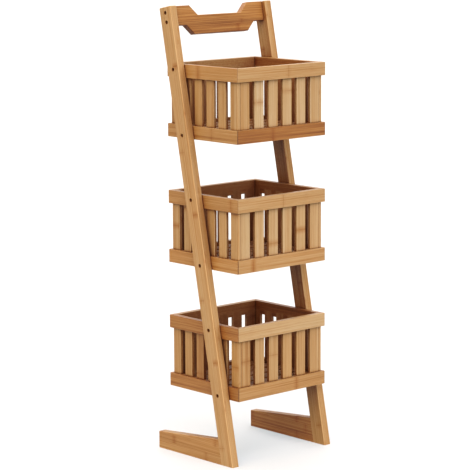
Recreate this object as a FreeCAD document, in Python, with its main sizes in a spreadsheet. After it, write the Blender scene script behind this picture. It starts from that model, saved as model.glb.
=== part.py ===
import FreeCAD, Part
import os
import Sketcher
from FreeCAD import Vector

# Free-standing bamboo storage rack with three slatted baskets, in millimetres.
# Origin: centre of the footprint, on the floor. +X right, +Y to the rear, +Z up.
# The two uprights lean back, and a foot behind each of them keeps the rack standing.

DIMENSIONS = [
    ("overall_depth", 235, "front of the uprights at the floor to the back of the feet"),
    ("basket_width", 250, "outside, left to right; the uprights stand against it"),
    ("basket_depth", 217, "outside, front to rear"),
    ("basket_height", 154, "outside"),
    ("basket_top_level", 826, "top edge of the top basket above the floor"),
    ("basket_pitch", 267.5, "from one basket to the next below it"),
    ("rim_height", 28, "rim bars, upper and lower"),
    ("rim_round", 0.8, "eased long edges of the rim bars"),
    ("mitre_round", 0.4, "eased outer corner of the mitres"),
    ("slat_setback", 6, "slats behind the outer faces of the rims"),
    ("slat_thickness", 7, "upright slats, flush with the inner faces of the rims"),
    ("slat_housing", 10, "slat ends let into the rims, upper and lower"),
    ("slat_round", 0.8, "eased slat edges"),
    ("slat_count", 6, "slats in each side of a basket"),
    ("front_slat_width", 25.5, "slats in the front and rear panels"),
    ("side_slat_width", 22.5, "slats in the left and right panels"),
    ("batten_width", 12, "floor battens"),
    ("batten_height", 15, "floor battens"),
    ("batten_rise", 2, "floor battens above the basket's bottom edge"),
    ("floor_slat_count", 5, "floor slats in a basket"),
    ("floor_slat_width", 25.5, "floor slats"),
    ("floor_slat_thickness", 6, "floor slats"),
    ("rail_length", 965, "uprights, along the front edge"),
    ("rail_depth", 35, "uprights, square to their length"),
    ("rail_thickness", 18, "uprights and feet, left to right"),
    ("lean_angle", 11.1, "uprights, degrees back from the vertical"),
    ("frame_round", 2, "rounded edges of the uprights and feet"),
    ("foot_front_height", 53, "foot where it leaves the upright"),
    ("foot_rear_height", 36, "foot at its rear end"),
    ("foot_housing", 1.5, "depth that the foot is let into the upright"),
    ("dowel_diameter", 8, "dowels between upright and foot"),
    ("dowel_length", 30, "dowels between upright and foot"),
    ("dowel_in_rail", 12, "part of a dowel inside the upright"),
    ("lower_dowel", 18, "lower dowel, along the upright from the floor"),
    ("dowel_spacing", 20, "between the two dowels of a foot"),
    ("bar_thickness", 15.2, "crossbar"),
    ("bar_setback", 9.7, "crossbar behind the front edge of the uprights"),
    ("bar_end_height", 41, "crossbar at its ends"),
    ("bar_top_shoulder", 43.4, "level part of the top edge at each end"),
    ("bar_top_drop", 21, "step down of the top edge, at 45 degrees"),
    ("bar_bottom_shoulder", 29.6, "level part of the bottom edge at each end"),
    ("bar_bottom_drop", 20, "step down of the bottom edge, at 45 degrees"),
    ("bar_round", 1.2, "eased edges of the crossbar"),
    ("bar_screw_upper", 12.4, "below the top of the upright, along it"),
    ("bar_screw_lower", 32.2, "below the top of the upright, along it"),
    ("rim_screw_drop", 10.7, "upper basket screw below the basket's top edge"),
    ("rim_screw_rise", 8.5, "lower basket screw above the basket's bottom edge"),
    ("shank_diameter", 4, "screws"),
    ("clearance_diameter", 4.5, "screw holes in the uprights"),
    ("screw_head_diameter", 7.2, "screws"),
    ("screw_head_height", 3, "screws"),
    ("recess_diameter", 8, "sunk screw holes in the outer faces"),
    ("recess_depth", 8, "sunk screw holes in the outer faces"),
    ("key_socket_width", 3, "across the flats of the six-sided key socket"),
    ("key_socket_depth", 1.8, "key socket in the screw head"),
    ("tip_length", 3, "screw points"),
    ("basket_screw_length", 22, "under the head"),
    ("crossbar_screw_length", 35, "under the head"),
]

BASKETS = ["top", "middle", "bottom"]
SIDES = ["front", "rear", "left", "right"]
HANDS = {"left": -1, "right": 1}

# Expressions used again and again. A place on an upright is given by its distance along the
# upright from the floor end of the front edge, and its depth back from that edge.
LEAN = "Dims.lean_angle * 1 deg"
RAIL_OUTER_X = "(Dims.basket_width / 2 + Dims.rail_thickness)"
FRONT_Y = "(-Dims.overall_depth / 2)"
RAIL_MIDDLE = "Dims.rail_depth / 2"
RIM_THICKNESS = "(Dims.slat_setback + Dims.slat_thickness)"


def on_rail(along, depth):
    """Horizontal and vertical place of a point of the upright, from its front foot corner."""
    across = f"(({along}) * sin({LEAN}) + ({depth}) * cos({LEAN}))"
    upward = f"(({along}) * cos({LEAN}) - ({depth}) * sin({LEAN}))"
    return across, upward


def along_at_height(height, depth):
    """Distance along the upright at which the given depth has the given height."""
    return f"((({height}) + ({depth}) * sin({LEAN})) / cos({LEAN}))"


doc = FreeCAD.newDocument("StorageRack")
sheet = doc.addObject("Spreadsheet::Sheet", "Dims")
for row, (alias, value, note) in enumerate(DIMENSIONS, start=1):
    sheet.set(f"A{row}", note)
    sheet.set(f"B{row}", str(value))
    sheet.setAlias(f"B{row}", alias)
doc.recompute()

nodes = {}


def value_of(expression):
    return float(sheet.evalExpression(expression))


def place(item, x="0", y="0", z="0", axis="0; 0; 1", angle="0"):
    """Bind an object's Placement to expressions of the sheet."""
    spot = f"vector({x}; {y}; {z})"
    item.setExpression("Placement", f"placement({spot}; rotation(vector({axis}); {angle}))")


def keep(item, name):
    """Make an object one of the rack's sub-parts."""
    item.Label = name
    nodes[name] = item
    return item


# ---------------------------------------------------------------- sketches and features


def new_body(name):
    return doc.addObject("PartDesign::Body", name)


def origin_feature(body, role):
    return next(item for item in body.Origin.OriginFeatures if item.Role == role)


def new_sketch(body, name, role, lift="0"):
    """Sketch on one of the body's origin planes, moved along the plane's normal by lift."""
    sketch = body.newObject("Sketcher::SketchObject", name)
    sketch.AttachmentSupport = [(origin_feature(body, role), "")]
    sketch.MapMode = "FlatFace"
    sketch.setExpression("AttachmentOffset.Base.z", lift)
    return sketch


def pin(sketch, geometry, point, x, y):
    """Fix a sketch point at expressions measured from the sketch's origin."""
    for kind, expression in (("DistanceX", x), ("DistanceY", y)):
        distance = value_of(expression)
        constraint = Sketcher.Constraint(kind, -1, 1, geometry, point, distance)
        index = sketch.addConstraint(constraint)
        sketch.setExpression(f"Constraints[{index}]", expression)


def draw_outline(sketch, corners):
    """Closed outline of straight lines through the corners, each an (x, y) pair."""
    points = [Vector(value_of(x), value_of(y), 0) for x, y in corners]
    following = points[1:] + points[:1]
    lines = [Part.LineSegment(start, end) for start, end in zip(points, following)]
    sketch.addGeometry(lines, False)
    for index, (x, y) in enumerate(corners):
        after = (index + 1) % len(corners)
        sketch.addConstraint(Sketcher.Constraint("Coincident", index, 2, after, 1))
        pin(sketch, index, 1, x, y)


def draw_circles(sketch, centres, diameter):
    """Circles of one diameter about the centres, each an (x, y) pair."""
    for x, y in centres:
        centre = Vector(value_of(x), value_of(y), 0)
        circle = Part.Circle(centre, Vector(0, 0, 1), value_of(diameter) / 2)
        index = sketch.addGeometry(circle, False)
        pin(sketch, index, 3, x, y)
        size = Sketcher.Constraint("Diameter", index, value_of(diameter))
        sketch.setExpression(f"Constraints[{sketch.addConstraint(size)}]", diameter)


def add_pad(body, sketch, length, backward=False):
    pad = body.newObject("PartDesign::Pad", f"{sketch.Name}_pad")
    pad.Profile = sketch
    pad.Reversed = backward
    pad.setExpression("Length", length)
    doc.recompute()
    return pad


def add_pocket(body, sketch, depth=None, backward=False):
    """Cut a sketch out of the body, right through or to a depth, and check that it cut."""
    before = body.Shape.Volume
    pocket = body.newObject("PartDesign::Pocket", f"{sketch.Name}_pocket")
    pocket.Profile = sketch
    pocket.Reversed = backward
    if depth is None:
        pocket.Type = "ThroughAll"
    else:
        pocket.setExpression("Length", depth)
    doc.recompute()
    if body.Shape.Volume >= before:
        raise RuntimeError(f"{pocket.Name} removes nothing from {body.Label}")
    return pocket


def add_rounding(body, feature, radius, wanted):
    """Round the edges of a feature that the test called wanted picks."""
    edges = feature.Shape.Edges
    names = [f"Edge{number}" for number, edge in enumerate(edges, start=1) if wanted(edge)]
    rounding = body.newObject("PartDesign::Fillet", f"{feature.Name}_rounding")
    rounding.Base = (feature, names)
    rounding.setExpression("Radius", radius)
    doc.recompute()
    if "Invalid" in rounding.State or rounding.Shape.Volume >= feature.Shape.Volume:
        raise RuntimeError(f"{rounding.Name} rounds nothing")
    return rounding


def runs_along(edge, direction):
    """True if a straight edge is parallel to the direction."""
    ends = [vertex.Point for vertex in edge.Vertexes]
    if len(ends) < 2:
        return False
    return (ends[1] - ends[0]).normalize().cross(direction).Length < 1e-6


def lowest(edge):
    return edge.BoundBox.ZMin


def highest(edge):
    return edge.BoundBox.ZMax


# ---------------------------------------------------------------- uprights and feet


def basket_bottom(tier):
    return f"(Dims.basket_top_level - {tier} * Dims.basket_pitch - Dims.basket_height)"


def screw_heights(tier):
    """Heights of the upper and lower screws of a basket above the floor."""
    upper = f"{basket_bottom(tier)} + Dims.basket_height - Dims.rim_screw_drop"
    lower = f"{basket_bottom(tier)} + Dims.rim_screw_rise"
    return [upper, lower]


def basket_screw_places(tier):
    """Where a basket's two screws cross the middle line of an upright."""
    heights = screw_heights(tier)
    return [on_rail(along_at_height(height, RAIL_MIDDLE), RAIL_MIDDLE) for height in heights]


def bar_screw_places():
    distances = ["Dims.bar_screw_upper", "Dims.bar_screw_lower"]
    return [on_rail(f"Dims.rail_length - {distance}", RAIL_MIDDLE) for distance in distances]


HOUSED_DEPTH = "Dims.rail_depth - Dims.foot_housing"
FOOT_TOP = along_at_height("Dims.foot_front_height", "Dims.rail_depth")
FOOT_JOINT = [
    (f"({HOUSED_DEPTH}) / cos({LEAN})", "0"),
    on_rail(FOOT_TOP, HOUSED_DEPTH),
    on_rail(FOOT_TOP, "Dims.rail_depth"),
]


def make_foot_dowels(hand):
    """Two dowels square to the back edge of the upright, half in it and half in the foot."""
    dowels = []
    for number in (0, 1):
        dowel = doc.addObject("Part::Cylinder", f"dowel_{hand}_{number}")
        dowel.setExpression("Radius", "Dims.dowel_diameter / 2")
        dowel.setExpression("Height", "Dims.dowel_length")
        along = f"Dims.lower_dowel + {number} * Dims.dowel_spacing"
        across, upward = on_rail(along, "Dims.rail_depth - Dims.dowel_in_rail")
        middle = f"{HANDS[hand]} * (Dims.basket_width + Dims.rail_thickness) / 2"
        angle = "-90 - Dims.lean_angle"
        place(dowel, middle, f"{FRONT_Y} + {across}", upward, axis="1; 0; 0", angle=angle)
        dowels.append(dowel)
    group = doc.addObject("Part::Compound", f"dowel_pair_{hand}")
    group.Links = dowels
    return keep(group, f"foot_dowels_{hand}")


def cut_for(joined, body, name):
    """The sub-part that is left when the pieces joined to a body are cut out of it."""
    part = doc.addObject("Part::Cut", f"{name}_cut")
    part.Base = body
    part.Tool = joined
    doc.recompute()
    if part.Shape.Volume >= body.Shape.Volume:
        raise RuntimeError(f"nothing is cut out of {name}")
    return keep(part, name)


def frame_side_x(hand):
    """Lower X of the plane that holds one upright and its foot."""
    return f"-{RAIL_OUTER_X}" if hand == "left" else "Dims.basket_width / 2"


def make_rail(hand, dowels):
    """Leaning upright, with sunk screw holes in its outer face."""
    body = new_body(f"rail_{hand}_body")
    sketch = new_sketch(body, f"rail_{hand}_outline", "YZ_Plane")
    top_rear = on_rail("Dims.rail_length", "Dims.rail_depth")
    top_front = on_rail("Dims.rail_length", "0")
    draw_outline(sketch, [("0", "0")] + FOOT_JOINT + [top_rear, top_front])
    pad = add_pad(body, sketch, "Dims.rail_thickness")

    joint_top = value_of("Dims.foot_front_height")

    def clear_of_foot(edge):
        at_joint_top = abs(lowest(edge) - joint_top) < 1 and runs_along(edge, Vector(1, 0, 0))
        return highest(edge) > joint_top + 1 and not at_joint_top

    add_rounding(body, pad, "Dims.frame_round", clear_of_foot)

    places = bar_screw_places()
    for tier in range(len(BASKETS)):
        places += basket_screw_places(tier)
    holes = new_sketch(body, f"rail_{hand}_holes", "YZ_Plane")
    draw_circles(holes, places, "Dims.clearance_diameter")
    add_pocket(body, holes, backward=True)
    outer_face = "0" if hand == "left" else "Dims.rail_thickness"
    recesses = new_sketch(body, f"rail_{hand}_recesses", "YZ_Plane", lift=outer_face)
    draw_circles(recesses, places, "Dims.recess_diameter")
    add_pocket(body, recesses, "Dims.recess_depth", backward=(hand == "left"))

    place(body, frame_side_x(hand), FRONT_Y)
    return cut_for(dowels, body, f"rail_{hand}")


def make_foot(hand, dowels):
    """Tapered foot, let into the back edge of the upright."""
    body = new_body(f"foot_{hand}_body")
    sketch = new_sketch(body, f"foot_{hand}_outline", "YZ_Plane")
    rear_top = ("Dims.overall_depth", "Dims.foot_rear_height")
    rear_bottom = ("Dims.overall_depth", "0")
    draw_outline(sketch, FOOT_JOINT + [rear_top, rear_bottom])
    pad = add_pad(body, sketch, "Dims.rail_thickness")

    rear_height = value_of("Dims.foot_rear_height")
    rear_y = value_of("Dims.overall_depth")

    def on_top_or_rear(edge):
        on_top = lowest(edge) > rear_height - 1 and edge.BoundBox.YMax > rear_y - 1
        at_rear = edge.BoundBox.YMin > rear_y - 1 and highest(edge) > 1
        return on_top or at_rear

    add_rounding(body, pad, "Dims.frame_round", on_top_or_rear)

    place(body, frame_side_x(hand), FRONT_Y)
    return cut_for(dowels, body, f"foot_{hand}")


# ---------------------------------------------------------------- crossbar


def make_crossbar():
    """Stepped bar between the uprights, lying in their leaning plane."""
    body = new_body("crossbar_body")
    sketch = new_sketch(body, "crossbar_outline", "XZ_Plane")
    end_bottom = "-Dims.bar_end_height"
    left_half = [
        ("Dims.bar_bottom_shoulder + Dims.bar_bottom_drop", f"{end_bottom} - Dims.bar_bottom_drop"),
        ("Dims.bar_bottom_shoulder", end_bottom),
        ("0", end_bottom),
        ("0", "0"),
        ("Dims.bar_top_shoulder", "0"),
        ("Dims.bar_top_shoulder + Dims.bar_top_drop", "-Dims.bar_top_drop"),
    ]
    right_half = [(f"Dims.basket_width - ({x})", y) for x, y in reversed(left_half)]
    draw_outline(sketch, left_half + right_half)
    pad = add_pad(body, sketch, "Dims.bar_thickness", backward=True)

    width = value_of("Dims.basket_width")

    def on_long_edge(edge):
        at_end = edge.BoundBox.XMax < 1 or edge.BoundBox.XMin > width - 1
        return not at_end and not runs_along(edge, Vector(0, 1, 0))

    add_rounding(body, pad, "Dims.bar_round", on_long_edge)

    across = f"{RAIL_MIDDLE} - Dims.bar_setback"
    centres = [(across, "-Dims.bar_screw_upper"), (across, "-Dims.bar_screw_lower")]
    grip = "Dims.crossbar_screw_length - (Dims.rail_thickness - Dims.recess_depth)"
    for hand, end_face in (("left", "0"), ("right", "Dims.basket_width")):
        holes = new_sketch(body, f"crossbar_{hand}_holes", "YZ_Plane", lift=end_face)
        draw_circles(holes, centres, "Dims.shank_diameter")
        add_pocket(body, holes, grip, backward=(hand == "left"))

    across, upward = on_rail("Dims.rail_length", "Dims.bar_setback")
    place(body, "-Dims.basket_width / 2", f"{FRONT_Y} + {across}", upward,
          axis="1; 0; 0", angle="-Dims.lean_angle")
    return keep(body, "crossbar")


# ---------------------------------------------------------------- screws


def make_screw_pattern(name, length):
    """One screw along +X, with its origin under the head. Its copies become the sub-parts."""
    body = new_body(name)
    sketch = new_sketch(body, f"{name}_profile", "XZ_Plane")
    head, shank = "Dims.screw_head_diameter / 2", "Dims.shank_diameter / 2"
    draw_outline(sketch, [
        ("-Dims.screw_head_height", "0"),
        ("-Dims.screw_head_height", head),
        ("0", head),
        ("0", shank),
        (f"{length} - Dims.tip_length", shank),
        (length, "0"),
    ])
    turned = body.newObject("PartDesign::Revolution", f"{name}_turned")
    turned.Profile = sketch
    turned.ReferenceAxis = (sketch, ["H_Axis"])
    turned.Angle = 360
    doc.recompute()

    socket = new_sketch(body, f"{name}_key_socket", "YZ_Plane", lift="-Dims.screw_head_height")
    corner_radius = "Dims.key_socket_width / 2 / cos(30 deg)"
    angles = [f"{60 * number} deg" for number in range(6)]
    draw_outline(socket, [(f"{corner_radius} * cos({angle})", f"{corner_radius} * sin({angle})")
                          for angle in angles])
    add_pocket(body, socket, "Dims.key_socket_depth", backward=True)
    return body


def place_screws(name, pattern, places):
    """A group of copies of a screw, on both sides, at (across, upward) places of the upright."""
    copies = []
    for hand, sign in HANDS.items():
        for number, (across, upward) in enumerate(places):
            copy = doc.addObject("App::Link", f"{name}_{hand}_{number}")
            copy.LinkedObject = pattern
            seat = f"{sign} * ({RAIL_OUTER_X} - Dims.recess_depth)"
            turn = "180" if hand == "right" else "0"
            place(copy, seat, f"{FRONT_Y} + {across}", upward, angle=turn)
            copies.append(copy)
    group = doc.addObject("Part::Compound", f"{name}_group")
    group.Links = copies
    return keep(group, name)


# ---------------------------------------------------------------- baskets


def place_in_basket(item, tier, rise="0"):
    """Put an object drawn about the middle of the basket's floor plan at its tier."""
    place(item, "0", f"{FRONT_Y} + Dims.basket_depth / 2", f"{basket_bottom(tier)} + {rise}")


def panel_corner(side, along, inward):
    """Plan position on a side of the basket: along it from its middle, and in from its face."""
    half_width, half_depth = "Dims.basket_width / 2", "Dims.basket_depth / 2"
    if side == "front":
        return f"({along})", f"-({half_depth} - ({inward}))"
    if side == "rear":
        return f"-({along})", f"({half_depth} - ({inward}))"
    if side == "left":
        return f"-({half_width} - ({inward}))", f"-({along})"
    return f"({half_width} - ({inward}))", f"({along})"


def panel_length(side):
    return "Dims.basket_width" if side in ("front", "rear") else "Dims.basket_depth"


def make_slats(tier, side):
    """The upright slats of one side, as a row of separate solids."""
    name = f"basket_{BASKETS[tier]}_slats_{side}"
    body = new_body(f"{name}_body")
    sketch = new_sketch(body, f"{name}_outline", "XY_Plane")
    if side in ("front", "rear"):
        width, end_margin = "Dims.front_slat_width", RIM_THICKNESS
    else:
        width, end_margin = "Dims.side_slat_width", "Dims.slat_setback"
    first = f"-{panel_length(side)} / 2 + {end_margin}"
    corners = [
        (first, "Dims.slat_setback"),
        (f"{first} + {width}", "Dims.slat_setback"),
        (f"{first} + {width}", RIM_THICKNESS),
        (first, RIM_THICKNESS),
    ]
    draw_outline(sketch, [panel_corner(side, along, inward) for along, inward in corners])
    rise = "Dims.rim_height - Dims.slat_housing"
    pad = add_pad(body, sketch, f"Dims.basket_height - 2 * ({rise})")

    row = body.newObject("PartDesign::LinearPattern", f"{name}_row")
    row.Originals = [pad]
    axis = "X_Axis" if side in ("front", "rear") else "Y_Axis"
    row.Direction = (origin_feature(body, axis), [""])
    row.Reversed = side in ("rear", "left")
    row.setExpression("Length", f"{panel_length(side)} - 2 * {end_margin} - {width}")
    row.setExpression("Occurrences", "Dims.slat_count")
    body.Tip = row
    doc.recompute()
    add_rounding(body, row, "Dims.slat_round", lambda edge: runs_along(edge, Vector(0, 0, 1)))
    place_in_basket(body, tier, rise)
    return keep(body, name)


def make_walls(tier):
    """The four rows of slats of a basket, and a group of them to cut their housings with."""
    group = doc.addObject("Part::Compound", f"basket_{BASKETS[tier]}_walls")
    group.Links = [make_slats(tier, side) for side in SIDES]
    return group


def make_rim(tier, level, side, walls):
    """One mitred rim bar, with housings for the ends of the slats."""
    name = f"basket_{BASKETS[tier]}_{level}_rim_{side}"
    body = new_body(f"{name}_body")
    sketch = new_sketch(body, f"{name}_outline", "XY_Plane")
    half = f"{panel_length(side)} / 2"
    corners = [
        (f"-{half}", "0"),
        (half, "0"),
        (f"{half} - {RIM_THICKNESS}", RIM_THICKNESS),
        (f"-{half} + {RIM_THICKNESS}", RIM_THICKNESS),
    ]
    draw_outline(sketch, [panel_corner(side, along, inward) for along, inward in corners])
    pad = add_pad(body, sketch, "Dims.rim_height")

    lengthwise = Vector(1, 0, 0) if side in ("front", "rear") else Vector(0, 1, 0)
    outer_end = value_of(half)

    def at_mitre_corner(edge):
        reach = abs(edge.Vertexes[0].Point.dot(lengthwise))
        return runs_along(edge, Vector(0, 0, 1)) and reach > outer_end - 0.1

    mitres = add_rounding(body, pad, "Dims.mitre_round", at_mitre_corner)
    add_rounding(body, mitres, "Dims.rim_round", lambda edge: runs_along(edge, lengthwise))

    rise = "0" if level == "lower" else "Dims.basket_height - Dims.rim_height"
    place_in_basket(body, tier, rise)
    if side in HANDS:
        drill_rim(body, f"{name}_hole", side, tier, level, rise)
    return cut_for(walls, body, name)


def drill_rim(body, name, side, tier, level, rise):
    """Blind screw hole in the outer face of a side rim."""
    number = ("upper", "lower").index(level)
    across = f"{basket_screw_places(tier)[number][0]} - Dims.basket_depth / 2"
    upward = f"{screw_heights(tier)[number]} - {basket_bottom(tier)} - ({rise})"
    grip = "Dims.basket_screw_length - (Dims.rail_thickness - Dims.recess_depth)"
    outer_face = f"{HANDS[side]} * Dims.basket_width / 2"
    hole = new_sketch(body, name, "YZ_Plane", lift=outer_face)
    draw_circles(hole, [(across, upward)], "Dims.shank_diameter")
    add_pocket(body, hole, grip, backward=(side == "left"))


def make_floor_battens(tier):
    """Two battens along the sides that carry the floor slats."""
    name = f"basket_{BASKETS[tier]}_floor_battens"
    battens = []
    length = f"Dims.basket_depth - 2 * {RIM_THICKNESS}"
    for hand in HANDS:
        batten = doc.addObject("Part::Box", f"{name}_{hand}")
        batten.setExpression("Length", "Dims.batten_width")
        batten.setExpression("Width", length)
        batten.setExpression("Height", "Dims.batten_height")
        inner = f"Dims.basket_width / 2 - {RIM_THICKNESS}"
        x = f"-({inner})" if hand == "left" else f"{inner} - Dims.batten_width"
        y = f"{FRONT_Y} + {RIM_THICKNESS}"
        place(batten, x, y, f"{basket_bottom(tier)} + Dims.batten_rise")
        battens.append(batten)
    group = doc.addObject("Part::Compound", f"{name}_group")
    group.Links = battens
    return keep(group, name)


def make_floor_slats(tier):
    """Floor slats from side to side, evenly spaced between the front and rear rims."""
    name = f"basket_{BASKETS[tier]}_floor_slats"
    body = new_body(f"{name}_body")
    sketch = new_sketch(body, f"{name}_outline", "XY_Plane")
    inner_depth = f"(Dims.basket_depth - 2 * {RIM_THICKNESS})"
    open_depth = f"({inner_depth} - Dims.floor_slat_count * Dims.floor_slat_width)"
    gap = f"({open_depth} / (Dims.floor_slat_count + 1))"
    half_width = f"(Dims.basket_width / 2 - {RIM_THICKNESS})"
    near = f"(-{inner_depth} / 2 + {gap})"
    far = f"({near} + Dims.floor_slat_width)"
    draw_outline(sketch, [
        (f"-{half_width}", near),
        (half_width, near),
        (half_width, far),
        (f"-{half_width}", far),
    ])
    pad = add_pad(body, sketch, "Dims.floor_slat_thickness")

    row = body.newObject("PartDesign::LinearPattern", f"{name}_row")
    row.Originals = [pad]
    row.Direction = (origin_feature(body, "Y_Axis"), [""])
    row.setExpression("Length", f"{inner_depth} - 2 * {gap} - Dims.floor_slat_width")
    row.setExpression("Occurrences", "Dims.floor_slat_count")
    body.Tip = row
    doc.recompute()
    add_rounding(body, row, "Dims.slat_round", lambda edge: runs_along(edge, Vector(1, 0, 0)))
    place_in_basket(body, tier, "Dims.batten_rise + Dims.batten_height")
    return keep(body, name)


# ---------------------------------------------------------------- the whole rack

for hand in HANDS:
    dowels = make_foot_dowels(hand)
    make_rail(hand, dowels)
    make_foot(hand, dowels)
make_crossbar()

short_screw = make_screw_pattern("short_screw", "Dims.basket_screw_length")
long_screw = make_screw_pattern("long_screw", "Dims.crossbar_screw_length")
place_screws("crossbar_screws", long_screw, bar_screw_places())

for tier, basket in enumerate(BASKETS):
    walls = make_walls(tier)
    for side in SIDES:
        for level in ("upper", "lower"):
            make_rim(tier, level, side, walls)
    make_floor_battens(tier)
    make_floor_slats(tier)
    place_screws(f"basket_{basket}_screws", short_screw, basket_screw_places(tier))

doc.recompute()
for item in doc.Objects:
    if "Invalid" in item.State or "Error" in item.State:
        raise RuntimeError(f"{item.Label} failed: {item.State}")
for name, item in nodes.items():
    if item.Shape.isNull() or not item.Shape.isValid():
        raise RuntimeError(f"{name} has no valid shape")

os.makedirs("parts", exist_ok=True)
for name, item in nodes.items():
    item.Shape.exportStep(f"parts/{name}.step")
print(len(nodes), "sub-parts")
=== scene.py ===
import math
import random
from collections import namedtuple

import bpy
from mathutils import Matrix, Vector


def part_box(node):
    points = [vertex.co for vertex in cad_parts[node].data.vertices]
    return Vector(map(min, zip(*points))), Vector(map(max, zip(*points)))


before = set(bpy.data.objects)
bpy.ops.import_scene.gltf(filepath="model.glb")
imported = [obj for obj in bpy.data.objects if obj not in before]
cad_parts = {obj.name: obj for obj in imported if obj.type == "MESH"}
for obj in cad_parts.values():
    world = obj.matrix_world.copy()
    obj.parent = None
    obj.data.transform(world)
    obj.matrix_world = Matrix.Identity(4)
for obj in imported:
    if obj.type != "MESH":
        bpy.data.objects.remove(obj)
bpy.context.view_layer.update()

MM = 0.001

# The camera stands at the left and front of the rack, a little above its top.
LENS, SENSOR_WIDTH = 164.3, 36  # millimetres
CAMERA_PLACE = Vector((-3.039, -3.3005, 1.195))
CAMERA_YAW, CAMERA_PITCH, CAMERA_ROLL = 42.39, -9.31, -0.27  # degrees

# The rails lean back by this angle, so their grain does too.
LEAN = math.radians(11.1)
X_AXIS, Y_AXIS, Z_AXIS = Vector((1, 0, 0)), Vector((0, 1, 0)), Vector((0, 0, 1))
UP_THE_RAIL = Vector((0, math.sin(LEAN), math.cos(LEAN)))
ACROSS_THE_RAIL = Vector((0, math.cos(LEAN), -math.sin(LEAN)))

TIERS = ("top", "middle", "bottom")
SIDES = ("front", "rear", "left", "right")
SLATS_IN_A_WALL = 6
SLATS_IN_A_FLOOR = 5
FRONT_SLAT, SIDE_SLAT, FLOOR_SLAT = 25.5 * MM, 22.5 * MM, 25.5 * MM  # the slats' widths

# The bamboo's colours, from the darkest streak to the palest, as (place on the ramp, colour).
BAMBOO_TONES = (
    (0.00, (0.210, 0.080, 0.026)),
    (0.25, (0.395, 0.193, 0.068)),
    (0.50, (0.550, 0.325, 0.136)),
    (0.75, (0.640, 0.450, 0.240)),
    (1.00, (0.720, 0.565, 0.365)),
)
MIDDLE_TONE = 0.56  # the place on the ramp of a board with a tone of 0
TIER_TONES = {"top": 0.0, "middle": 0.0, "bottom": -0.08}

# Cycles of each pattern to the metre, along, across and through the board.
FIBRES = (16, 1300, 1300)
STREAKS = (3, 420, 420)
BANDS = (2, 110, 110)
CLOUDS = (4, 22, 22)
DASHES = (38, 950, 950)
WOBBLE = (25, 120, 120)

# How far each of them moves a place along the ramp.
LATH_SWING, BOARD_SWING = 0.12, 0.18
STREAK_SWING, BAND_SWING, FIBRE_SWING, CLOUD_SWING = 0.85, 0.45, 0.50, 0.30

# Steps in the numbers that the random draws start from, so that no two neighbours share a draw.
LATH_STEP, LAYER_STEP, BOARD_STEP, BOARD_TONE_STEP = 1.37, 7.91, 11.3, 3.17
GRAIN_SHIFT = 1.9  # the furthest that a lath's grain is moved along it, in metres

# Stains and painted shade: how strong each is, and what is left of the red, green and blue under it
# at full strength.
RED_STAIN = (1.00, (1.00, 0.86, 0.70))
DASH_STAIN = (0.40, (0.66, 0.46, 0.32))
GLUE_STAIN = (0.35, (0.55, 0.36, 0.22))
KNUCKLE_STAIN = (0.85, (0.76, 0.56, 0.39))
KNUCKLE_LINE_STAIN = (0.35, (0.58, 0.36, 0.22))
END_GRAIN_STAIN = (0.80, (0.70, 0.58, 0.46))
# Painted shade: the insides of the baskets and the corners between parts are darkened where shade
# falls.
CREVICE_PAINTED_SHADE = (0.90, (0.30, 0.15, 0.10))
# Painted shade in narrow grooves and creases, such as between the slats and under the rims.
GROOVE_PAINTED_SHADE = (0.70, (0.30, 0.16, 0.09))
JOINT_STAIN_COLOUR = (0.26, 0.13, 0.08)

# Where edges are rubbed: how strongly the colour beneath shows, and that colour. On the bamboo this
# paler edge is also a painted highlight.
RUBBED_AND_HIGHLIT_BAMBOO = (0.30, (0.74, 0.53, 0.31))
RUBBED_STEEL = (0.50, (0.55, 0.44, 0.30))

DOWEL_TONES = ((0.0, (0.36, 0.22, 0.11)), (0.5, (0.55, 0.38, 0.21)), (1.0, (0.68, 0.52, 0.33)))
STEEL_TONES = ((0.0, (0.10, 0.065, 0.035)), (0.5, (0.24, 0.165, 0.085)), (1.0, (0.42, 0.31, 0.18)))

# The distances between the knuckles of a lath, where one length of cane meets the next.
KNUCKLE_SPACING = 310 * MM
FOOT_KNUCKLE_SPACING = 170 * MM
KNUCKLE_WOBBLE = 6 * MM


# ---------------------------------------------------------------- node trees


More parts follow.
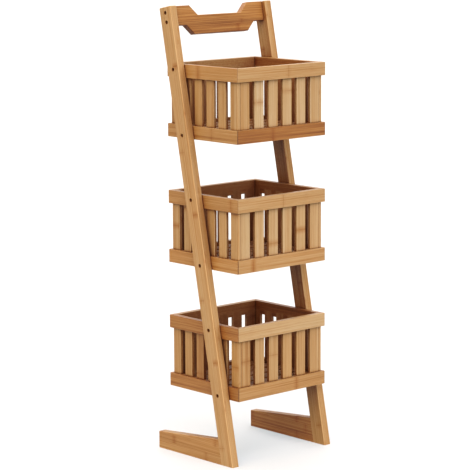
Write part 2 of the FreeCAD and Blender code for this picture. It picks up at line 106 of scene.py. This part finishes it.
class Graph:
    """A node tree, with short ways to add a node and to join it to others."""

    def __init__(self, tree):
        self.tree = tree
        tree.nodes.clear()

    def add(self, kind, inputs=None, **settings):
        node = self.tree.nodes.new(kind)
        for name, value in settings.items():
            setattr(node, name, value)
        for key, value in (inputs or {}).items():
            self.join(value, node.inputs[key])
        return node

    def join(self, value, socket):
        if isinstance(value, bpy.types.NodeSocket):
            self.tree.links.new(value, socket)
        else:
            socket.default_value = value

    def math(self, operation, *values):
        return self.add("ShaderNodeMath", dict(enumerate(values)), operation=operation).outputs[0]

    def dot(self, vector, direction):
        inputs = {0: vector, 1: direction}
        node = self.add("ShaderNodeVectorMath", inputs, operation="DOT_PRODUCT")
        return node.outputs["Value"]

    def vector(self, x, y, z):
        return self.add("ShaderNodeCombineXYZ", {0: x, 1: y, 2: z}).outputs[0]

    def smooth(self, value, low, high):
        """0 where value is at low and 1 at high, with a smooth step between them."""
        inputs = {"Value": value, "From Min": low, "From Max": high}
        node = self.add("ShaderNodeMapRange", inputs, interpolation_type="SMOOTHSTEP")
        return node.outputs["Result"]

    def noise(self, vector, cycles, detail=2.0, roughness=0.5):
        """Noise about zero, most of it between -0.3 and 0.3, with its cycles to the metre."""
        inputs = {0: vector, 1: cycles}
        scaled = self.add("ShaderNodeVectorMath", inputs, operation="MULTIPLY").outputs[0]
        inputs = {"Vector": scaled, "Scale": 1.0, "Detail": detail, "Roughness": roughness}
        return self.math("SUBTRACT", self.add("ShaderNodeTexNoise", inputs).outputs[0], 0.5)

    def random(self, value):
        """Three random numbers from 0 to 1 that change with value."""
        node = self.add("ShaderNodeTexWhiteNoise", {"W": value}, noise_dimensions="1D")
        return self.add("ShaderNodeSeparateColor", {0: node.outputs["Color"]}).outputs

    def sum(self, *terms, start=0.0):
        """start and the sum of (weight, socket) terms."""
        total = start
        for weight, socket in terms:
            total = self.math("MULTIPLY_ADD", socket, weight, total)
        return total

    def ramp(self, value, stops):
        node = self.add("ShaderNodeValToRGB", {0: value})
        elements = node.color_ramp.elements
        while len(elements) < len(stops):
            elements.new(0.5)
        for element, (place, colour) in zip(elements, stops):
            element.position = place
            element.color = (*colour, 1)
        return node.outputs["Color"]

    def stain(self, colour, mask, stain, mode="MULTIPLY"):
        """colour, with a stain, a (strength, colour) pair, laid over it where the mask is 1."""
        strength, by = stain
        node = self.add("ShaderNodeMix", data_type="RGBA", blend_type=mode)
        self.join(self.math("MULTIPLY", mask, strength), node.inputs[0])
        self.join(colour, node.inputs[6])
        self.join((*by, 1), node.inputs[7])
        return node.outputs[2]

    def finish(self, colour, roughness, height, relief, strength, **settings):
        """The shader and the output. height is the pattern of the relief, and relief its depth."""
        inputs = {"Strength": strength, "Distance": relief, "Height": height}
        bump = self.add("ShaderNodeBump", inputs).outputs[0]
        inputs = {"Base Color": colour, "Roughness": roughness, "Normal": bump, **settings}
        shader = self.add("ShaderNodeBsdfPrincipled", inputs)
        self.add("ShaderNodeOutputMaterial", {0: shader.outputs[0]})


def new_material(name):
    material = bpy.data.materials.new(name)
    material.use_nodes = True
    return material, Graph(material.node_tree)


# ------------------------------------------------------------------- masks


def edge_mask(graph, radius):
    """1 on a sharp or worn edge and 0 on a flat face."""
    flat = graph.add("ShaderNodeNewGeometry").outputs["Normal"]
    rounded = graph.add("ShaderNodeBevel", {"Radius": radius}, samples=4).outputs[0]
    return graph.smooth(graph.dot(flat, rounded), 0.995, 0.86)


# Marks where shade is painted into the colour: nearer 1 the more the surroundings close in.
def painted_shade_mask(graph, reach, clear, shut):
    """0 in the open and 1 where most of what is within reach is walled in.

    clear and shut are the open shares of the surroundings at which the mask starts and is full."""
    node = graph.add("ShaderNodeAmbientOcclusion", {"Distance": reach}, samples=6)
    return graph.smooth(node.outputs["AO"], clear, shut)


def joint_mask(graph, point, joints):
    """1 at both ends of a length, where a board meets the next one, and 0 between them."""
    place = graph.math("SUBTRACT", graph.dot(point, joints.direction), joints.start)
    from_end = graph.math("MINIMUM", place, graph.math("SUBTRACT", joints.length, place))
    return graph.smooth(from_end, 1.3 * MM, 0.4 * MM)


def knuckle_masks(graph, grain, run, spacing):
    """A thin line across the lath at every knuckle, and the soft stain on both sides of it."""
    turn = graph.math("FRACT", graph.math("DIVIDE", run, spacing))
    gap = graph.math("ABSOLUTE", graph.math("SUBTRACT", turn, 0.5))
    wobble = graph.noise(grain, WOBBLE)
    gap = graph.math("MULTIPLY_ADD", gap, spacing, graph.math("MULTIPLY", wobble, KNUCKLE_WOBBLE))
    return graph.smooth(gap, 1.6 * MM, 0.3 * MM), graph.smooth(gap, 11 * MM, 1 * MM)


def glue_mask(graph, lath_place, layer_place, board):
    """1 on the thin lines between one lath or layer and the next."""
    off_lath = graph.math("ABSOLUTE", graph.math("SUBTRACT", graph.math("FRACT", lath_place), 0.5))
    off_layer = graph.math("ABSOLUTE", graph.math("SUBTRACT", graph.math("FRACT", layer_place), 0.5))
    lath_line = graph.smooth(off_lath, 0.5 - 0.30 * MM / board.lath, 0.5)
    layer_line = graph.smooth(off_layer, 0.5 - 0.25 * MM / board.layer, 0.5)
    return graph.math("MAXIMUM", lath_line, layer_line)


# --------------------------------------------------------------- materials

# How a board is cut: the directions of its grain and across its face, the corner that its laths are
# counted from, and their width and thickness. Where one node is a row of boards, pitch is the step
# across the row from one board to the next.
Board = namedtuple("Board", "along across corner lath layer pitch", defaults=(None,))

# The joints at the two ends of a length: its direction, where it starts and how long it is, and
# how dark the line in the joint is.
Joints = namedtuple("Joints", "direction start length strength")


def bamboo(name, board, tone=0.0, red=0.0, joints=None, knuckle_spacing=KNUCKLE_SPACING):
    """Laminated bamboo: flat laths glued side by side and in layers, with fibres and knuckles."""
    material, graph = new_material(name)
    seed = random.Random(name).uniform(0, 50)
    point = graph.add("ShaderNodeTexCoord").outputs["Object"]
    axes = (board.along, board.across, board.along.cross(board.across))
    run, side, depth = (
        graph.math("SUBTRACT", graph.dot(point, axis), board.corner.dot(axis)) for axis in axes
    )

    # Each board of a row has a number, and the place across it starts again at its edge.
    number = 0.0
    if board.pitch:
        number = graph.math("FLOOR", graph.math("DIVIDE", side, board.pitch))
        side = graph.math("MULTIPLY_ADD", number, -board.pitch, side)
    board_random = graph.random(graph.math("MULTIPLY_ADD", number, BOARD_TONE_STEP, seed))

    # Each lath has its own tone, and its fibres and knuckles start at a place of their own.
    lath_place = graph.math("DIVIDE", side, board.lath)
    layer_place = graph.math("DIVIDE", depth, board.layer)
    lath_number = graph.math("FLOOR", lath_place)
    layer_number = graph.math("FLOOR", layer_place)
    key = graph.sum((LATH_STEP, lath_number), (LAYER_STEP, layer_number), (BOARD_STEP, number))
    lath_random = graph.random(graph.math("ADD", key, seed))
    run = graph.math("MULTIPLY_ADD", lath_random[1], GRAIN_SHIFT, run)
    grain = graph.vector(run, graph.math("ADD", side, key), depth)

    fibres = graph.noise(grain, FIBRES, detail=3, roughness=0.65)
    streaks = graph.noise(grain, STREAKS)
    bands = graph.noise(grain, BANDS, detail=1)
    clouds = graph.noise(grain, CLOUDS, detail=1)
    dashes = graph.smooth(graph.noise(grain, DASHES, detail=1), 0.10, 0.24)
    knuckle_line, knuckle_stain = knuckle_masks(graph, grain, run, knuckle_spacing)
    lath_strength = graph.sum((0.8, lath_random[2]), start=0.2)
    knuckle_stain = graph.math("MULTIPLY", knuckle_stain, lath_strength)
    glue = glue_mask(graph, lath_place, layer_place, board)

    shade = graph.sum(
        (LATH_SWING, graph.math("SUBTRACT", lath_random[0], 0.5)),
        (BOARD_SWING, graph.math("SUBTRACT", board_random[0], 0.5)),
        (STREAK_SWING, streaks),
        (BAND_SWING, bands),
        (FIBRE_SWING, fibres),
        (CLOUD_SWING, clouds),
        start=MIDDLE_TONE + tone,
    )
    redness = graph.sum((0.25, lath_random[2]), (0.45, board_random[1]), (1.2, clouds), start=red)
    colour = graph.ramp(shade, BAMBOO_TONES)
    colour = graph.stain(colour, redness, RED_STAIN)
    colour = graph.stain(colour, dashes, DASH_STAIN)
    colour = graph.stain(colour, glue, GLUE_STAIN)
    colour = graph.stain(colour, knuckle_stain, KNUCKLE_STAIN)
    colour = graph.stain(colour, knuckle_line, KNUCKLE_LINE_STAIN)
    if joints:
        joint_stain = (joints.strength, JOINT_STAIN_COLOUR)
        colour = graph.stain(colour, joint_mask(graph, point, joints), joint_stain)

    # The ends of the fibres are darker, edges are rubbed paler with a painted highlight, and
    # crevices and grooves get painted shade.
    normal = graph.add("ShaderNodeTexCoord").outputs["Normal"]
    end_grain = graph.smooth(graph.math("ABSOLUTE", graph.dot(normal, board.along)), 0.75, 0.98)
    # Edges paler partly from real wear and partly as a painted highlight on the rounded arrises.
    worn_and_highlit = graph.math("MULTIPLY", edge_mask(graph, 1.4 * MM), graph.math("ADD", fibres, 0.75))
    # Painted shade: with its long reach this darkens the insides of the baskets and the corners
    # between parts.
    crevice_shade = painted_shade_mask(graph, 300 * MM, clear=0.88, shut=0.25)
    # Painted shade: with its short reach this darkens narrow grooves and creases.
    groove_shade = painted_shade_mask(graph, 3.5 * MM, clear=0.80, shut=0.50)
    colour = graph.stain(colour, end_grain, END_GRAIN_STAIN)
    colour = graph.stain(colour, worn_and_highlit, RUBBED_AND_HIGHLIT_BAMBOO, mode="MIX")
    colour = graph.stain(colour, crevice_shade, CREVICE_PAINTED_SHADE)
    colour = graph.stain(colour, groove_shade, GROOVE_PAINTED_SHADE)

    roughness = graph.sum(
        (0.25, fibres), (0.08, knuckle_line), (0.10, worn_and_highlit), (0.10, crevice_shade), start=0.42
    )
    height = graph.sum((1.0, fibres), (0.8, streaks), (-0.9, glue), (-0.7, knuckle_line))
    varnish = {"Specular IOR Level": 0.35, "Coat Weight": 0.10, "Coat Roughness": 0.30}
    graph.finish(colour, roughness, height, relief=0.4 * MM, strength=0.30, **varnish)
    return material


def plain_wood(name, along):
    """The turned wood of the dowels, which nobody sees once the rack is put together."""
    material, graph = new_material(name)
    point = graph.add("ShaderNodeTexCoord").outputs["Object"]
    cycles = tuple(900 - 870 * abs(part) for part in along)
    fibres = graph.noise(point, cycles, detail=3)
    colour = graph.ramp(graph.math("ADD", fibres, 0.5), DOWEL_TONES)
    roughness = graph.sum((0.2, fibres), start=0.7)
    graph.finish(colour, roughness, fibres, relief=0.4 * MM, strength=0.3)
    return material


def screw_steel(name):
    """Steel with a dark bronze-coloured finish, finely scratched and rubbed bright on its edges."""
    material, graph = new_material(name)
    point = graph.add("ShaderNodeTexCoord").outputs["Object"]
    scratches = graph.noise(point, (2500, 2500, 300), detail=3)
    spots = graph.noise(point, (420, 420, 420))
    colour = graph.ramp(graph.sum((0.5, scratches), (0.7, spots), start=0.5), STEEL_TONES)
    colour = graph.stain(colour, edge_mask(graph, 0.3 * MM), RUBBED_STEEL, mode="MIX")
    roughness = graph.sum((0.3, spots), start=0.42)
    graph.finish(colour, roughness, scratches, relief=0.1 * MM, strength=0.2, Metallic=1.0)
    return material


# ------------------------------------------------------ materials on the nodes


def paint(node_name, material):
    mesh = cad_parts[node_name].data
    mesh.materials.clear()
    mesh.materials.append(material)


def rim_tone(tier, level, side):
    """The tone and the redness of a rim. The front ones are pale, but for one dark red one."""
    if (tier, level, side) == ("top", "lower", "front"):
        return -0.36, 0.80
    if side == "front":
        return TIER_TONES[tier] + 0.11, -0.15
    return TIER_TONES[tier] - 0.05, 0.20


def paint_rims():
    """The eight rims of each basket, with the grain along them and joints at their mitred ends."""
    for tier in TIERS:
        for level, joint_strength in (("upper", 0.35), ("lower", 0.85)):
            for side in SIDES:
                name = f"basket_{tier}_{level}_rim_{side}"
                low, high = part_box(name)
                along = X_AXIS if side in ("front", "rear") else Y_AXIS
                board = Board(along, Z_AXIS, low, lath=28 * MM, layer=3 * MM)
                joints = Joints(along, low.dot(along), (high - low).dot(along), joint_strength)
                tone, red = rim_tone(tier, level, side)
                paint(name, bamboo(name, board, tone, red, joints))


def paint_slats():
    """The upright slats of each wall. The front wall's outer slats butt against the side walls."""
    for tier in TIERS:
        for side in SIDES:
            name = f"basket_{tier}_slats_{side}"
            low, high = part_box(name)
            across = X_AXIS if side in ("front", "rear") else Y_AXIS
            slat = FRONT_SLAT if side in ("front", "rear") else SIDE_SLAT
            length = (high - low).dot(across)
            pitch = (length - slat) / (SLATS_IN_A_WALL - 1)
            board = Board(Z_AXIS, across, low, lath=slat, layer=3.5 * MM, pitch=pitch)
            tone, joints = TIER_TONES[tier] + 0.03, None
            if side == "front":
                tone = TIER_TONES[tier] + 0.10
                joints = Joints(across, low.dot(across), length, 0.65)
            paint(name, bamboo(name, board, tone, red=-0.3, joints=joints))


def paint_floors():
    """The floor slats run from side to side, on two battens that run from front to rear."""
    for tier in TIERS:
        name = f"basket_{tier}_floor_slats"
        low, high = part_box(name)
        pitch = ((high - low).y - FLOOR_SLAT) / (SLATS_IN_A_FLOOR - 1)
        board = Board(X_AXIS, Y_AXIS, low, lath=FLOOR_SLAT, layer=3 * MM, pitch=pitch)
        paint(name, bamboo(name, board))
        name = f"basket_{tier}_floor_battens"
        board = Board(Y_AXIS, Z_AXIS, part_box(name)[0], lath=15 * MM, layer=4 * MM)
        paint(name, bamboo(name, board, tone=-0.05))


def paint_frame():
    """The two leaning rails, their feet and the stepped crossbar."""
    for hand in ("left", "right"):
        name = f"rail_{hand}"
        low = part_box(name)[0]
        board = Board(UP_THE_RAIL, ACROSS_THE_RAIL, low, lath=17.5 * MM, layer=6 * MM)
        paint(name, bamboo(name, board, red=0.1))
        name = f"foot_{hand}"
        board = Board(Y_AXIS, Z_AXIS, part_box(name)[0], lath=17.7 * MM, layer=6 * MM)
        foot = bamboo(name, board, tone=-0.15, red=0.25, knuckle_spacing=FOOT_KNUCKLE_SPACING)
        paint(name, foot)
    # The crossbar's darker, redder tone is painted shade, as it stands at the rear in the shade of
    # the rack.
    board = Board(X_AXIS, Z_AXIS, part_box("crossbar")[0], lath=20 * MM, layer=5 * MM)
    paint("crossbar", bamboo("crossbar", board, tone=-0.30, red=0.7))


def paint_fixings():
    """The dark screws, and the dowels inside the joints of the feet."""
    steel = screw_steel("screw_steel")
    dowel_wood = plain_wood("dowel_wood", Y_AXIS)
    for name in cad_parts:
        if name.endswith("_screws"):
            paint(name, steel)
        elif name.startswith("foot_dowels"):
            paint(name, dowel_wood)


# ------------------------------------------------------------------- the stage


def add_camera():
    yaw, pitch = math.radians(CAMERA_YAW), math.radians(CAMERA_PITCH)
    level_forward = Vector((math.sin(yaw), math.cos(yaw), 0))
    forward = level_forward * math.cos(pitch) + Z_AXIS * math.sin(pitch)
    level_right = Vector((math.cos(yaw), -math.sin(yaw), 0))
    right = Matrix.Rotation(-math.radians(CAMERA_ROLL), 3, forward) @ level_right
    turn = Matrix((right, right.cross(forward), -forward)).transposed()
    data = bpy.data.cameras.new("camera")
    data.sensor_width = SENSOR_WIDTH
    data.lens = LENS
    data.clip_end = 200
    camera = bpy.data.objects.new("camera", data)
    camera.matrix_world = Matrix.Translation(CAMERA_PLACE) @ turn.to_4x4()
    bpy.context.scene.collection.objects.link(camera)
    bpy.context.scene.camera = camera


def add_sun(name, place, strength, angle, colour=(1, 1, 1)):
    """A soft light from far off. place is the direction from the rack to it, angle its breadth."""
    data = bpy.data.lights.new(name, "SUN")
    data.energy = strength
    data.angle = math.radians(angle)
    data.color = colour
    sun = bpy.data.objects.new(name, data)
    sun.rotation_mode = "QUATERNION"
    sun.rotation_quaternion = Vector(place).to_track_quat("Z", "Y")
    bpy.context.scene.collection.objects.link(sun)


def add_world(above, below):
    """Even light from all round: above and below are its strengths over and under the horizon.

    The camera sees the world as plain white."""
    world = bpy.data.worlds.new("studio")
    bpy.context.scene.world = world
    world.use_nodes = True
    graph = Graph(world.node_tree)
    height = graph.dot(graph.add("ShaderNodeTexCoord").outputs["Generated"], Z_AXIS)
    inputs = {"Value": height, "From Min": -0.3, "From Max": 0.3, "To Min": below, "To Max": above}
    strength = graph.add("ShaderNodeMapRange", inputs).outputs[0]
    white = (1, 1, 1, 1)
    light = graph.add("ShaderNodeBackground", {"Color": white, "Strength": strength})
    seen = graph.add("ShaderNodeBackground", {"Color": white, "Strength": 1.0})
    camera_ray = graph.add("ShaderNodeLightPath").outputs["Is Camera Ray"]
    inputs = {0: camera_ray, 1: light.outputs[0], 2: seen.outputs[0]}
    mixed = graph.add("ShaderNodeMixShader", inputs)
    graph.add("ShaderNodeOutputWorld", {0: mixed.outputs[0]})


def add_floor(base, glow, radius=45.0, sides=96):
    """A plain white disc under the rack.

    base is the colour that the lights fall on, which shows the rack's soft shadow, and glow is light
    of its own, which brings the open floor up to white."""
    turns = [2 * math.pi * number / sides for number in range(sides)]
    ring = [(radius * math.cos(turn), radius * math.sin(turn), 0.0) for turn in turns]
    mesh = bpy.data.meshes.new("floor")
    mesh.from_pydata(ring, [], [tuple(range(sides))])
    floor = bpy.data.objects.new("floor", mesh)
    bpy.context.scene.collection.objects.link(floor)
    material, graph = new_material("floor")
    inputs = {
        "Base Color": (*base, 1),
        "Roughness": 0.9,
        "Emission Color": (*glow, 1),
        "Emission Strength": 1.0,
    }
    shader = graph.add("ShaderNodeBsdfPrincipled", inputs)
    graph.add("ShaderNodeOutputMaterial", {0: shader.outputs[0]})
    mesh.materials.append(material)
    floor.visible_diffuse = False
    floor.visible_shadow = False


def set_tones():
    """The standard view, with its darkest tones a little deeper."""
    view = bpy.context.scene.view_settings
    view.view_transform = "Standard"
    view.use_curve_mapping = True
    for tone_in, tone_out in ((0.04, 0.027), (0.20, 0.192), (0.60, 0.61)):
        view.curve_mapping.curves[3].points.new(tone_in, tone_out)
    view.curve_mapping.update()


add_camera()
add_world(above=0.36, below=0.24)
add_sun("key", (-0.30, -0.75, 0.50), 2.9, 80, (0.97, 0.98, 1.0))
add_sun("left_fill", (-0.85, -0.10, 0.52), 1.2, 50, (1.0, 0.80, 0.52))
add_sun("top", (0.1, 0.1, 1.0), 0.5, 90)
add_sun("rear_fill", (0.20, 0.65, 0.80), 1.3, 80)
add_sun("right_fill", (0.90, 0.10, 0.40), 0.9, 80)
add_floor(base=(0.64, 0.55, 0.51), glow=(0.195, 0.30, 0.35))
set_tones()

paint_rims()
paint_slats()
paint_floors()
paint_frame()
paint_fixings()
